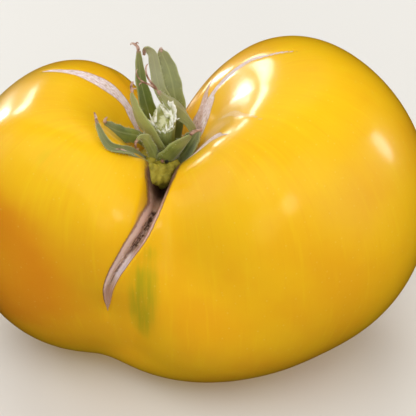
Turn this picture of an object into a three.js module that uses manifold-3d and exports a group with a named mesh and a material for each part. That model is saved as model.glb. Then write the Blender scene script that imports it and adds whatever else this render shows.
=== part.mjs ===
import * as THREE from 'three';
import { mergeVertices } from 'three/addons/utils/BufferGeometryUtils.js';
import Module from 'manifold-3d';

// A large two-lobed beefsteak tomato, millimetres, +Z up, resting on its blossom end.
// The origin is the centre of the box's base. The deep cleft runs from front (-Y) to back.

// The fruit is a smooth union of ellipsoids, drawn in polar coordinates about this point.
const fruitHeart = [-7.05, -1.75, 30];
const lobes = [
  { name: 'left', centre: [-29.45, 0.25, 38.8], radii: [33.7, 34.1, 41.2] },
  { name: 'left back', centre: [-28.85, 15.05, 41.4], radii: [28.6, 27.2, 32.3] },
  { name: 'right front', centre: [18.15, -8.35, 40.2], radii: [25.4, 31.1, 39.1] },
  { name: 'right', centre: [22.85, 0.25, 41.4], radii: [40.5, 39.4, 42.9] },
  { name: 'right back', centre: [24.45, 10.95, 45.6], radii: [30.6, 37.1, 35.8] },
  { name: 'front base', centre: [2.15, -12.65, 25.6], radii: [36.8, 28.7, 27.4] },
];
const lobeBlend = 2.5;
const rayReach = 110;

// Swells raise the surface round a direction: angle from +Z, azimuth, height, spread.
const swells = [
  { polar: 50, azimuth: -58, height: 5.5, spread: 20 },
  { polar: 40, azimuth: 0, height: 1.5, spread: 20 },
  { polar: 44, azimuth: -126, height: 4, spread: 20 },
  { polar: 50, azimuth: -103, height: 7, spread: 15 },
  { polar: 68, azimuth: -107, height: 6, spread: 16 },
  { polar: 85, azimuth: -75, height: 4.5, spread: 26 },
  { polar: 88, azimuth: -50, height: 2, spread: 24 },
  { polar: 27, azimuth: -126, height: 3.5, spread: 11 },
];

// Creases follow a line from the stem cavity down the side. Each list is even in polar angle.
const creaseScale = 42;
const creases = [
  {
    name: 'front cleft',
    polar: [8, 96],
    azimuth: [-92, -95, -96, -100.5, -107.5, -112.5, -116],
    depth: [8, 15, 9, 5, 2.6, 1.2, 0],
    width: [2, 2.2, 1.7, 1.3, 1.1, 0.9, 0.8],
    roundness: 0.2,
    steepness: 2.6,
  },
  {
    name: 'front valley',
    polar: [40, 132],
    azimuth: [-98, -101, -102, -106, -116],
    depth: [0, 4, 5, 4, 0],
    width: [6, 7, 8, 10, 12],
    roundness: 4,
    steepness: 1,
  },
  {
    name: 'back cleft',
    polar: [8, 120],
    azimuth: [88, 86, 84, 82, 80, 80],
    depth: [0, 15, 20, 15, 6, 0],
    width: [6, 6, 7, 9, 10, 12],
    roundness: 4,
    steepness: 1,
  },
  {
    name: 'left shoulder scar',
    polar: [19, 42],
    azimuth: [138, 143, 149, 154, 156],
    depth: [0.4, 0.9, 0.9, 0.6, 0],
    width: [1.6, 1.6, 1.6, 1.2, 1],
    roundness: 1.5,
    steepness: 1,
  },
  {
    name: 'right shoulder scar',
    polar: [17, 36],
    azimuth: [25, 43, 42, 28, 17],
    depth: [0.4, 0.9, 0.9, 0.5, 0],
    width: [1.4, 1.4, 1.2, 1, 0.9],
    roundness: 1.2,
    steepness: 1,
  },
];

const cavity = { floor: 54, polar: 19, sharpness: 5, lowestCosine: 0.3 };
const fruitGrid = { rows: 42, columns: 88, topBias: 1.25, cleftAzimuth: -98, cleftBias: 0.3 };
const clearance = 0.35;

const receptacle = { centre: [-8, -4.4, 56.4], radii: [6.8, 7.2, 4.6], ribs: 5, ribDepth: 0.1 };
const frontKnob = { centre: [-8.4, -10.6, 57.6], radii: [3.9, 3.4, 3.8], ribs: 4, ribDepth: 0.12 };
const sepalRing = 8;
const sepalSteps = 9;
const sepalThickness = 1.3;
const tipThickness = 0.8;

// Each sepal's line starts in the receptacle; 'up' is the side that its inner face turns to.
const sepals = [
  {
    name: 'left lower',
    line: [[-9, -5, 57], [-12, -12.5, 65.5], [-17.5, -20.5, 73], [-22.5, -20, 76], [-24.5, -11, 76]],
    width: 3.6,
    up: [0.2, -0.5, 1],
  },
  {
    name: 'left upper',
    line: [[-9, -2, 58], [-14, -2, 63], [-19.5, -4, 68.5], [-22.5, -8, 72.5], [-23, -6, 75]],
    width: 5,
    up: [0.3, -0.6, 1],
  },
  {
    name: 'front short',
    line: [[-8, -6.5, 57.5], [-9.5, -9.5, 63.5], [-11.5, -11.5, 69], [-13.5, -12.5, 70.5], [-14, -13.5, 69]],
    width: 3.8,
    up: [-0.6, 1, 0.4],
  },
  {
    name: 'front long',
    line: [[-7.5, -6, 59], [-10.5, -8, 67], [-13, -6, 71.5], [-15, -3, 76], [-15.5, 0, 78.5]],
    width: 4.8,
    up: [0.6, 0.9, 0.2],
  },
  {
    name: 'tall',
    line: [[-9, 0, 58], [-11.5, 3.5, 66], [-12.5, 6, 71.5], [-14, 9, 79], [-15.5, 11, 83]],
    width: 4.4,
    up: [0.5, -1, 0.2],
  },
  {
    name: 'back narrow',
    line: [[-7, 0.5, 58], [-6.5, 4, 64.5], [-7.5, 7.5, 69], [-10, 13, 77], [-12.5, 16, 79]],
    width: 4,
    up: [0.2, -1, 0.3],
  },
  {
    name: 'back broad',
    line: [[-5.5, 0, 58], [-4, 5, 65], [-4.5, 8, 70.5], [-6, 13, 76.5], [-9, 18, 78]],
    width: 5.4,
    up: [0.1, -1, 0.4],
  },
  {
    name: 'right crossing',
    line: [[-5, -2, 58], [-0.5, 1, 63], [-3, -1.5, 71.5], [-9, -1, 77], [-12, 1.5, 82.5]],
    width: 3.6,
    up: [-1, 0.1, 0.2],
  },
  {
    name: 'right folded',
    line: [[-6.5, -6.5, 57.5], [-5, -9.5, 64.5], [-2.5, -10, 68], [0, -9, 69.5]],
    width: 5.6,
    up: [-0.3, 1, 0.9],
  },
  {
    name: 'right lowest',
    line: [[-5, -4, 58.5], [-1, -5.5, 63.5], [0.5, -6.5, 67.5], [2, -7, 70]],
    width: 3.4,
    up: [-1, 0.3, 0.6],
  },
];

// The stub is the broken end of the fruit's stalk, torn off obliquely.
const stub = {
  foot: [-7.7, -2.8, 58.2],
  head: [-8, -4.6, 71.3],
  footRadius: 3.6,
  neckRadius: 2.8,
  headRadius: 3.3,
  tearNormal: [-0.1, -0.62, 0.78],
  splinterHeight: 1.1,
  splinters: 9,
  sides: 18,
};

const degrees = THREE.MathUtils.degToRad;

const { Manifold, Mesh: SolidMesh } = await loadManifold();

async function loadManifold() {
  const wasm = await Module();
  wasm.setup();
  return wasm;
}

function direction(polar, azimuth) {
  return [
    Math.sin(polar) * Math.cos(azimuth),
    Math.sin(polar) * Math.sin(azimuth),
    Math.cos(polar),
  ];
}

// Approximate signed distance from a point to an ellipsoid.
function lobeDistance(point, lobe) {
  let near = 0;
  let far = 0;
  for (let axis = 0; axis < 3; axis += 1) {
    const scaled = (point[axis] - lobe.centre[axis]) / lobe.radii[axis];
    near += scaled ** 2;
    far += (scaled / lobe.radii[axis]) ** 2;
  }
  near = Math.sqrt(near);
  far = Math.sqrt(far);
  return (near * (near - 1)) / far;
}

function bodyDistance(point) {
  const distances = lobes.map((lobe) => lobeDistance(point, lobe));
  const nearest = Math.min(...distances);
  const total = distances.reduce((sum, d) => sum + Math.exp((nearest - d) / lobeBlend), 0);
  return nearest - lobeBlend * Math.log(total);
}

function bodyRadius(ray) {
  let inside = 5;
  let outside = rayReach;
  for (let step = 0; step < 24; step += 1) {
    const middle = (inside + outside) / 2;
    const point = ray.map((part, axis) => fruitHeart[axis] + part * middle);
    if (bodyDistance(point) < 0) inside = middle;
    else outside = middle;
  }
  return (inside + outside) / 2;
}

function swellHeight(polar, azimuth) {
  let height = 0;
  for (const swell of swells) {
    const centre = direction(degrees(swell.polar), degrees(swell.azimuth));
    const ray = direction(polar, azimuth);
    const cosine = centre.reduce((sum, part, axis) => sum + part * ray[axis], 0);
    const away = THREE.MathUtils.radToDeg(Math.acos(Math.min(1, Math.max(-1, cosine))));
    height += swell.height * Math.exp(-((away / swell.spread) ** 2));
  }
  return height;
}

// Smooth curve through evenly spaced values, with the end values repeated.
function along(values, t) {
  const spot = Math.min(Math.max(t, 0), 0.999999) * (values.length - 1);
  const start = Math.floor(spot);
  const value = (index) => values[Math.min(Math.max(index, 0), values.length - 1)];
  const [p0, p1, p2, p3] = [value(start - 1), value(start), value(start + 1), value(start + 2)];
  const f = spot - start;
  const linear = (p2 - p0) * f;
  const square = (2 * p0 - 5 * p1 + 4 * p2 - p3) * f ** 2;
  const cube = (3 * p1 - p0 - 3 * p2 + p3) * f ** 3;
  return (2 * p1 + linear + square + cube) / 2;
}

function creaseDepth(crease, polar, azimuth) {
  const [start, end] = crease.polar;
  const t = (THREE.MathUtils.radToDeg(polar) - start) / (end - start);
  if (t <= 0 || t >= 1) return 0;
  const turn = azimuth - degrees(along(crease.azimuth, t));
  const wrapped = Math.atan2(Math.sin(turn), Math.cos(turn));
  const aside = wrapped * Math.sin(polar) * creaseScale;
  const rounded = Math.hypot(aside, crease.roundness) - crease.roundness;
  const fall = (rounded / along(crease.width, t)) ** crease.steepness;
  return along(crease.depth, t) * Math.exp(-fall);
}

function fruitRadius(polar, azimuth) {
  let radius = bodyRadius(direction(polar, azimuth)) + swellHeight(polar, azimuth);
  for (const crease of creases) radius -= creaseDepth(crease, polar, azimuth);
  const share = 1 / (1 + (THREE.MathUtils.radToDeg(polar) / cavity.polar) ** cavity.sharpness);
  const cosine = Math.max(Math.cos(polar), cavity.lowestCosine);
  const floorRadius = Math.min(radius, (cavity.floor - fruitHeart[2]) / cosine);
  return radius * (1 - share) + share * floorRadius;
}

// The grid is denser near the stem and near the two clefts, which lie opposite each other.
function gridPolar(share) {
  return Math.PI * share ** fruitGrid.topBias;
}

function gridAzimuth(share) {
  const even = 2 * Math.PI * share;
  return even - fruitGrid.cleftBias * Math.sin(2 * (even - degrees(fruitGrid.cleftAzimuth)));
}

function closedMesh(positions, indices) {
  const geometry = new THREE.BufferGeometry();
  geometry.setAttribute('position', new THREE.Float32BufferAttribute(positions, 3));
  geometry.setIndex(indices);
  return mergeVertices(geometry, 1e-4);
}

// Fruit surface moved out along its rays by 'swell', flat where it meets the ground.
function fruitGeometry(swell, ground) {
  const { rows, columns } = fruitGrid;
  const positions = [];
  const put = (polar, azimuth) => {
    const ray = direction(polar, azimuth);
    const radius = fruitRadius(polar, azimuth) + swell;
    const point = ray.map((part, axis) => fruitHeart[axis] + part * radius);
    positions.push(point[0], point[1], Math.max(point[2], ground));
  };
  put(0, 0);
  for (let row = 1; row < rows; row += 1) {
    for (let column = 0; column < columns; column += 1) {
      put(gridPolar(row / rows), gridAzimuth(column / columns));
    }
  }
  put(Math.PI, 0);
  return closedMesh(positions, ringIndices(rows - 1, columns));
}

// Triangles for rings of points between a first and a last pole point.
function ringIndices(rings, columns) {
  const indices = [];
  const last = 1 + rings * columns;
  const at = (ring, column) => 1 + ring * columns + (column % columns);
  for (let column = 0; column < columns; column += 1) {
    indices.push(0, at(0, column), at(0, column + 1));
    for (let ring = 0; ring < rings - 1; ring += 1) {
      indices.push(at(ring, column), at(ring + 1, column), at(ring + 1, column + 1));
      indices.push(at(ring, column), at(ring + 1, column + 1), at(ring, column + 1));
    }
    indices.push(last, at(rings - 1, column + 1), at(rings - 1, column));
  }
  return indices;
}

// Ribbed, rounded lump that the sepals grow from.
function knobGeometry(knob, rows, columns) {
  const { centre, radii, ribs, ribDepth } = knob;
  const positions = [centre[0], centre[1], centre[2] + radii[2]];
  for (let row = 1; row < rows; row += 1) {
    for (let column = 0; column < columns; column += 1) {
      const polar = (Math.PI * row) / rows;
      const azimuth = (2 * Math.PI * column) / columns;
      const ray = direction(polar, azimuth);
      const rib = 1 + ribDepth * Math.cos(ribs * azimuth) * Math.sin(polar);
      for (let axis = 0; axis < 3; axis += 1) {
        positions.push(centre[axis] + ray[axis] * radii[axis] * (axis < 2 ? rib : 1));
      }
    }
  }
  positions.push(centre[0], centre[1], centre[2] - radii[2]);
  return closedMesh(positions, ringIndices(rows - 1, columns));
}

// Half width along a sepal: broad below the middle, drawn out to a blunt point.
function sepalHalfWidth(sepal, t) {
  const body = Math.sin(Math.PI * (0.2 + 0.8 * t ** 0.8)) ** 0.7;
  return Math.max(0.5 * sepal.width * body, 0.5 * tipThickness);
}

function sepalGeometry(sepal) {
  const line = new THREE.CatmullRomCurve3(sepal.line.map((p) => new THREE.Vector3(...p)));
  const up = new THREE.Vector3(...sepal.up).normalize();
  const positions = line.getPoint(0).toArray();
  for (let step = 0; step <= sepalSteps; step += 1) {
    const t = step / sepalSteps;
    const point = line.getPoint(t);
    const forward = line.getTangent(t);
    const side = new THREE.Vector3().crossVectors(forward, up).normalize();
    const normal = new THREE.Vector3().crossVectors(side, forward);
    const halfWidth = sepalHalfWidth(sepal, t);
    const halfThickness = 0.5 * THREE.MathUtils.lerp(sepalThickness, tipThickness, t);
    for (let corner = 0; corner < sepalRing; corner += 1) {
      const angle = (2 * Math.PI * corner) / sepalRing;
      const across = Math.cos(angle) * halfWidth;
      const above = Math.sin(angle) * halfThickness + 0.22 * (across ** 2) / halfWidth;
      const corner3 = point.clone().addScaledVector(side, across).addScaledVector(normal, above);
      positions.push(...corner3.toArray());
    }
  }
  positions.push(...line.getPoint(1).toArray());
  return closedMesh(positions, ringIndices(sepalSteps + 1, sepalRing));
}

function stubRadius(t) {
  const pinch = Math.sin(Math.PI * t);
  const straight = THREE.MathUtils.lerp(stub.footRadius, stub.headRadius, t);
  return straight - (straight - stub.neckRadius) * pinch;
}

// Stalk end with an oblique, splintered tear; 'swell' thickens it for the seat in the calyx.
function stubGeometry(swell) {
  const foot = new THREE.Vector3(...stub.foot);
  const head = new THREE.Vector3(...stub.head);
  const axis = head.clone().sub(foot).normalize();
  const tear = new THREE.Vector3(...stub.tearNormal).normalize();
  const across = new THREE.Vector3().crossVectors(axis, new THREE.Vector3(0, 1, 0)).normalize();
  const outward = new THREE.Vector3().crossVectors(across, axis);
  const rings = 5;
  const positions = foot.clone().addScaledVector(axis, -swell).toArray();
  for (let ring = 0; ring < rings; ring += 1) {
    const t = ring / (rings - 1);
    for (let corner = 0; corner < stub.sides; corner += 1) {
      const angle = (2 * Math.PI * corner) / stub.sides;
      const reach = stubRadius(t) + swell;
      const offset = across.clone().multiplyScalar(Math.cos(angle) * reach);
      offset.addScaledVector(outward, Math.sin(angle) * reach);
      const splinter = 0.5 * stub.splinterHeight * Math.cos(stub.splinters * angle);
      const tilt = -offset.dot(tear) / axis.dot(tear);
      const length = head.distanceTo(foot) + tilt + splinter + swell;
      const along3 = t === 0 ? -swell : length * t;
      positions.push(...foot.clone().add(offset).addScaledVector(axis, along3).toArray());
    }
  }
  positions.push(...head.clone().addScaledVector(axis, swell - 1).toArray());
  return closedMesh(positions, ringIndices(rings, stub.sides));
}

function toSolid(geometry) {
  const vertProperties = new Float32Array(geometry.attributes.position.array);
  const triVerts = new Uint32Array(geometry.index.array);
  return new Manifold(new SolidMesh({ numProp: 3, vertProperties, triVerts }));
}

function toGeometry(solid) {
  const { vertProperties, triVerts } = solid.getMesh();
  return closedMesh(Array.from(vertProperties), Array.from(triVerts));
}

function largestPiece(solid) {
  const pieces = solid.decompose();
  return pieces.reduce((best, piece) => (piece.volume() > best.volume() ? piece : best));
}

function calyxGeometry() {
  let solid = toSolid(knobGeometry(receptacle, 10, 20));
  solid = solid.add(toSolid(knobGeometry(frontKnob, 8, 16)));
  for (const sepal of sepals) solid = solid.add(toSolid(sepalGeometry(sepal)));
  solid = solid.subtract(toSolid(fruitGeometry(clearance, -clearance)));
  solid = solid.subtract(toSolid(stubGeometry(clearance)));
  return toGeometry(largestPiece(solid));
}

function piece(name, geometry, material) {
  const mesh = new THREE.Mesh(geometry, new THREE.MeshStandardMaterial(material));
  mesh.name = name;
  return mesh;
}

const tomato = new THREE.Group();
tomato.add(piece('fruit', fruitGeometry(0, 0), { color: 0xf2b51c, roughness: 0.3, metalness: 0 }));
tomato.add(piece('calyx', calyxGeometry(), { color: 0x7d8a3c, roughness: 0.7, metalness: 0 }));
tomato.add(piece('stem_stub', stubGeometry(0), { color: 0xb9bf95, roughness: 0.8, metalness: 0 }));

export default tomato;
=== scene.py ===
import math
import random

import bpy
import numpy as np
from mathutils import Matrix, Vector


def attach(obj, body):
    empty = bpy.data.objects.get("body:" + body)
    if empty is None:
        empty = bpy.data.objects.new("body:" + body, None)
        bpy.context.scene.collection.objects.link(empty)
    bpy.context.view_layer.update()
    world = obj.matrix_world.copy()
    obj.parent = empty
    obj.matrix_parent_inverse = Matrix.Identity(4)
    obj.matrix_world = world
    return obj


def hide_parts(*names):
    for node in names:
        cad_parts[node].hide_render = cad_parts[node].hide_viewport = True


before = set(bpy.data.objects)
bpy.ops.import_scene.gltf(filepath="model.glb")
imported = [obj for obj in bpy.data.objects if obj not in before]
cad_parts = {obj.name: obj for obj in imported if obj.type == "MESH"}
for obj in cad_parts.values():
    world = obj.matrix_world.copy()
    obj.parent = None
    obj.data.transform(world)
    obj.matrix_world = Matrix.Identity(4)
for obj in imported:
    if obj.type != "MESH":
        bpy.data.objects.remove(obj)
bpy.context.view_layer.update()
mm = 0.001


# Small tools that every piece uses
def deselectAll():
    bpy.ops.object.select_all(action="DESELECT")


def newest(name):
    piece = bpy.context.view_layer.objects.active
    piece.name = name
    piece.data.name = name
    return piece


def choose(piece):
    deselectAll()
    piece.select_set(True)
    bpy.context.view_layer.objects.active = piece


def readPoints(piece):
    flat = np.empty(len(piece.data.vertices) * 3)
    piece.data.vertices.foreach_get("co", flat)
    return flat.reshape(-1, 3)


def writePoints(piece, points):
    piece.data.vertices.foreach_set("co", np.asarray(points, dtype=float).ravel())
    piece.data.update()


def writeAttribute(piece, name, values):
    attribute = piece.data.attributes.new(name, "FLOAT_VECTOR", "POINT")
    attribute.data.foreach_set("vector", np.asarray(values, dtype=float).ravel())


def applyAll(piece):
    choose(piece)
    for modifier in list(piece.modifiers):
        bpy.ops.object.modifier_apply(modifier=modifier.name)


def joinPieces(pieces, name):
    choose(pieces[0])
    for piece in pieces[1:]:
        piece.select_set(True)
    bpy.ops.object.join()
    return newest(name)


# Every piece rides on the one body, takes the given finish and stands for a CAD node, which it hides
def dress(piece, material, node):
    piece.data.materials.clear()
    piece.data.materials.append(material)
    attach(piece, "root")
    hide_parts(node)


def unit(vector):
    vector = np.asarray(vector, dtype=float)
    return vector / np.linalg.norm(vector, axis=-1, keepdims=True)


def srgb(red, green, blue):
    def linear(value):
        value /= 255
        return value / 12.92 if value <= 0.04045 else ((value + 0.055) / 1.055) ** 2.4

    return (linear(red), linear(green), linear(blue), 1)


# Shader maths: a Field is one socket, and arithmetic on Fields adds Math nodes
class Field:
    def __init__(self, shader, socket):
        self.shader = shader
        self.socket = socket

    def math(self, operation, other=0.0, swapped=False):
        first, second = (other, self) if swapped else (self, other)
        return self.shader.add("ShaderNodeMath", {"operation": operation}, {0: first, 1: second})

    def __add__(self, other):
        return self.math("ADD", other)

    def __sub__(self, other):
        return self.math("SUBTRACT", other)

    def __mul__(self, other):
        return self.math("MULTIPLY", other)

    def __pow__(self, other):
        return self.math("POWER", other)

    def __rsub__(self, other):
        return self.math("SUBTRACT", other, swapped=True)

    def __abs__(self):
        return self.math("ABSOLUTE")

    __radd__ = __add__
    __rmul__ = __mul__

    # Rises smoothly from 0 at low to 1 at high, or falls if low is the larger
    def rise(self, low, high):
        settings = {"interpolation_type": "SMOOTHSTEP"}
        return self.shader.add(
            "ShaderNodeMapRange", settings, {"Value": self, "From Min": low, "From Max": high}
        )

    def parts(self):
        return [self.shader.add("ShaderNodeSeparateXYZ", {}, {0: self}, n) for n in range(3)]


class Shader:
    def __init__(self, name):
        self.material = bpy.data.materials.new(name)
        self.material.use_nodes = True
        self.tree = self.material.node_tree
        self.tree.nodes.clear()

    # Adds any node: its settings first, then the values or links of its sockets
    def add(self, kind, settings, values, output=0):
        node = self.tree.nodes.new(kind)
        for name, value in settings.items():
            setattr(node, name, value)
        for name, value in values.items():
            if isinstance(value, Field):
                self.tree.links.new(value.socket, node.inputs[name])
            else:
                node.inputs[name].default_value = value
        return Field(self, node.outputs[output])

    def place(self):
        return self.add("ShaderNodeTexCoord", {}, {}, "Object")

    def attribute(self, name):
        return self.add("ShaderNodeAttribute", {"attribute_name": name}, {}, "Vector")

    def noise(self, place, scale, detail, roughness=0.5):
        values = {"Vector": place, "Scale": scale, "Detail": detail, "Roughness": roughness}
        return self.add("ShaderNodeTexNoise", {}, values, "Fac")

    def cells(self, place, scale, output="Distance"):
        return self.add("ShaderNodeTexVoronoi", {}, {"Vector": place, "Scale": scale}, output)

    def stretch(self, place, scale):
        settings = {"operation": "MULTIPLY"}
        return self.add("ShaderNodeVectorMath", settings, {0: place, 1: scale}, "Vector")

    # Inputs 6 and 7 of a Mix node are its colours, and output 2 is the mixed one
    def mix(self, share, first, second):
        settings = {"data_type": "RGBA", "clamp_factor": True}
        return self.add("ShaderNodeMix", settings, {0: share, 6: first, 7: second}, 2)

    def bump(self, height, strength, distance):
        values = {"Height": height, "Strength": strength, "Distance": distance}
        return self.add("ShaderNodeBump", {}, values, "Normal")

    def finish(self, values):
        surface = self.add("ShaderNodeBsdfPrincipled", {}, values, "BSDF")
        output = self.tree.nodes.new("ShaderNodeOutputMaterial")
        self.tree.links.new(surface.socket, output.inputs["Surface"])
        return self.material


# The fruit: a smooth union of lobes, drawn along rays from a point inside, in millimetres.
# A lobe is (centre, radii) and a swell (angle from +Z, azimuth, height, spread in degrees)
fruit = {
    "heart": (-7.05, -1.75, 30),
    "lobes": [
        ((-29.45, 0.25, 38.8), (33.7, 34.1, 41.2)),
        ((-28.85, 15.05, 41.4), (28.6, 27.2, 32.3)),
        ((18.15, -8.35, 40.2), (25.4, 31.1, 39.1)),
        ((22.85, 0.25, 41.4), (40.5, 39.4, 42.9)),
        ((24.45, 10.95, 45.6), (30.6, 37.1, 35.8)),
        ((2.15, -12.65, 25.6), (36.8, 28.7, 27.4)),
    ],
    "lobeBlend": 2.5,
    "rayStart": 5.0,
    "rayReach": 110.0,
    "rayHalvings": 20,
    "swells": [
        (50, -58, 5.5, 20),
        (40, 0, 1.5, 20),
        (44, -126, 4, 20),
        (50, -103, 7, 15),
        (68, -107, 6, 16),
        (85, -75, 4.5, 26),
        (88, -50, 2, 24),
        (27, -126, 3.5, 11),
        (20.5, -71, -2.6, 8),
        (18, 59, -1.2, 7),
        (52, -160, 4.5, 14),
        (38, -157, 1.8, 9),
    ],
    "creaseScale": 42,
    "cavityFloor": 54,
    "cavityPolar": 19,
    "cavitySharpness": 5,
    "cavityLimit": 0.3,
    "inset": 0.22,
    "segments": 400,
    "rings": 220,
    "topBias": 1.25,
    "cleftAzimuth": -98,
    "cleftBias": 0.3,
}

# Angles in degrees down from +Z and round it, depths and widths in millimetres along the line
creases = {
    "frontCleft": {
        "polar": (8, 96),
        "azimuth": (-88, -92, -95.5, -100.3, -108.8, -113.9, -116),
        "depth": (8, 15, 9, 5, 2.6, 1.2, 0),
        "width": (2.6, 2.8, 1.9, 1.3, 1.1, 0.9, 0.8),
        "roundness": 0.2,
        "steepness": 2.6,
    },
    "frontValley": {
        "polar": (40, 132),
        "azimuth": (-98, -101, -102, -106, -116),
        "depth": (0, 4, 5, 4, 0),
        "width": (6, 7, 8, 10, 12),
        "roundness": 4,
        "steepness": 1,
    },
    "backCleft": {
        "polar": (8, 120),
        "azimuth": (88, 86, 84, 82, 80, 80),
        "depth": (0, 15, 20, 15, 6, 0),
        "width": (6, 6, 7, 9, 10, 12),
        "roundness": 4,
        "steepness": 1,
    },
}


# Smooth curve through evenly spaced values, with the end values repeated
def along(values, share):
    values = np.asarray(values, dtype=float)
    spot = np.clip(share, 0, 0.999999) * (len(values) - 1)
    start = spot.astype(int)
    p0, p1, p2, p3 = [values[np.clip(start + k, 0, len(values) - 1)] for k in (-1, 0, 1, 2)]
    f = spot - start
    linear = (p2 - p0) * f
    square = (2 * p0 - 5 * p1 + 4 * p2 - p3) * f**2
    cube = (3 * p1 - p0 - 3 * p2 + p3) * f**3
    return (2 * p1 + linear + square + cube) / 2


def direction(polar, azimuth):
    level = np.sin(polar)
    return np.stack([level * np.cos(azimuth), level * np.sin(azimuth), np.cos(polar)], -1)


def awayFrom(rays, polar, azimuth):
    centre = direction(np.radians(polar), np.radians(azimuth))
    return np.degrees(np.arccos(np.clip(rays @ centre, -1, 1)))


def bodyDistance(points):
    distances = []
    for centre, radii in fruit["lobes"]:
        scaled = (points - centre) / radii
        near = np.linalg.norm(scaled, axis=-1)
        far = np.linalg.norm(scaled / radii, axis=-1)
        distances.append(near * (near - 1) / far)
    distances = np.stack(distances)
    nearest = distances.min(0)
    total = np.exp((nearest - distances) / fruit["lobeBlend"]).sum(0)
    return nearest - fruit["lobeBlend"] * np.log(total)


def bodyRadius(rays):
    inside = np.full(len(rays), fruit["rayStart"])
    outside = np.full(len(rays), fruit["rayReach"])
    for halving in range(fruit["rayHalvings"]):
        middle = (inside + outside) / 2
        deep = bodyDistance(fruit["heart"] + rays * middle[:, None]) < 0
        inside = np.where(deep, middle, inside)
        outside = np.where(deep, outside, middle)
    return (inside + outside) / 2


def lineAcross(line, polar, azimuth, scale):
    start, end = line["polar"]
    share = (np.degrees(polar) - start) / (end - start)
    turn = azimuth - np.radians(along(line["azimuth"], share))
    wrapped = np.arctan2(np.sin(turn), np.cos(turn))
    return share, wrapped * np.sin(polar) * scale


def creaseDepth(crease, polar, azimuth):
    share, across = lineAcross(crease, polar, azimuth, fruit["creaseScale"])
    rounded = np.hypot(across, crease["roundness"]) - crease["roundness"]
    fall = (rounded / along(crease["width"], share)) ** crease["steepness"]
    depth = along(crease["depth"], share) * np.exp(-fall)
    return np.where((share > 0) & (share < 1), depth, 0)


def fruitRadius(polar, azimuth):
    rays = direction(polar, azimuth)
    radius = bodyRadius(rays)
    for swellPolar, swellAzimuth, height, spread in fruit["swells"]:
        away = awayFrom(rays, swellPolar, swellAzimuth)
        radius = radius + height * np.exp(-((away / spread) ** 2))
    for crease in creases.values():
        radius = radius - creaseDepth(crease, polar, azimuth)
    share = 1 / (1 + (np.degrees(polar) / fruit["cavityPolar"]) ** fruit["cavitySharpness"])
    upward = np.maximum(np.cos(polar), fruit["cavityLimit"])
    reach = (fruit["cavityFloor"] - fruit["heart"][2]) / upward
    return radius * (1 - share) + share * np.minimum(radius, reach)


# Corky scars and low folds, each a line of (angle from +Z, azimuth, half width) in degrees.
# look is (brown with a fissure, white, strength). relief is how deep it lies in millimetres
scars = {
    "front": {
        "line": [
            (16, -89, 7),
            (25, -91.6, 5.8),
            (30.1, -93, 4.9),
            (34.6, -93.8, 3.8),
            (39.9, -94.9, 3),
            (45.5, -97.2, 2.8),
            (51.2, -99.7, 2.6),
            (58.2, -104.1, 2.25),
            (63.1, -107, 2.05),
            (67.6, -109.5, 1.85),
            (74.8, -112.5, 1.55),
            (82.4, -114.2, 1.15),
            (87.4, -114.9, 0.3),
        ],
        "look": (1, 0, 1),
        "relief": 0.1,
    },
    "leftShoulder": {
        "line": [
            (15.5, 141, 1.1),
            (18.3, 140.7, 1.4),
            (20.4, 137.2, 1.7),
            (23.1, 139.8, 2.3),
            (24.6, 142.9, 2.6),
            (26, 146.8, 2.6),
            (27.8, 149.7, 2.5),
            (29.9, 152.1, 2),
            (32.4, 155, 1.3),
            (36.6, 156.3, 0.8),
            (39, 156.8, 0.3),
        ],
        "look": (0, 0.85, 1),
        "relief": 0.35,
    },
    "rightShoulder": {
        "line": [
            (16.5, 17, 0.8),
            (17.8, 28.2, 1.5),
            (18.5, 33, 1.8),
            (19.6, 36.7, 1.7),
            (20.7, 39.5, 1.3),
            (21.6, 39.9, 1.15),
            (22.9, 39.3, 0.95),
            (24, 37.4, 0.95),
            (25.4, 35.3, 0.9),
            (26.9, 32.4, 0.85),
            (28.3, 29.4, 0.6),
            (29.4, 24.8, 0.45),
            (31.2, 21.6, 0.5),
            (33, 18.8, 0.35),
        ],
        "look": (0, 0.8, 1),
        "relief": 0.3,
    },
    "fork": {
        "line": [
            (17, 24, 1.6),
            (18.5, 42.7, 1.8),
            (19.2, 44.4, 1.3),
            (20.7, 46.1, 1),
            (22.9, 50.5, 0.6),
            (25.3, 52.4, 0.3),
        ],
        "look": (0.1, 0.3, 1),
        "relief": 0.2,
    },
    "rightFront": {
        "line": [
            (25.6, -45.3, 0.3),
            (24.2, -45.5, 1.2),
            (22.9, -45.5, 2.1),
            (21.7, -47.5, 2.5),
            (21, -53, 2.4),
            (21, -60, 1.9),
            (20.5, -67, 0.8),
        ],
        "look": (0.1, 0.8, 1),
        "relief": 0.25,
    },
    # A thin whitish scar line on a small ridge, and partly a painted highlight along that ridge
    "scarAndHighlightStreak": {
        "line": [
            (19.5, -4, 0.2),
            (21.1, -12.6, 0.5),
            (24.7, -27.3, 0.55),
            (28.3, -31.8, 0.4),
            (31, -34, 0.1),
        ],
        "look": (0, 1, 0.3),
        "relief": -0.25,
    },
}

folds = [
    {"line": [(20, 8, 1), (30, -10, 2), (48, -16, 2.4)], "relief": 0.12},
    {"line": [(21, -22, 1), (31, -38, 1.6), (50, -42, 2.4)], "relief": 0.15},
    {"line": [(22, 62, 1.5), (40, 54, 2.5), (62, 48, 3)], "relief": 0.3},
    {"line": [(22, 118, 1.5), (40, 122, 2.5), (62, 128, 3)], "relief": 0.3},
    {"line": [(30, -140, 1.5), (44, -140, 2.5), (62, -138, 3)], "relief": 0.15},
]

scarSteps = 120  # points worked out along a line
scarEnd = 1.5  # degrees over which a line's end fades
noScar = 9.0  # half widths away, where no line is near
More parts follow.
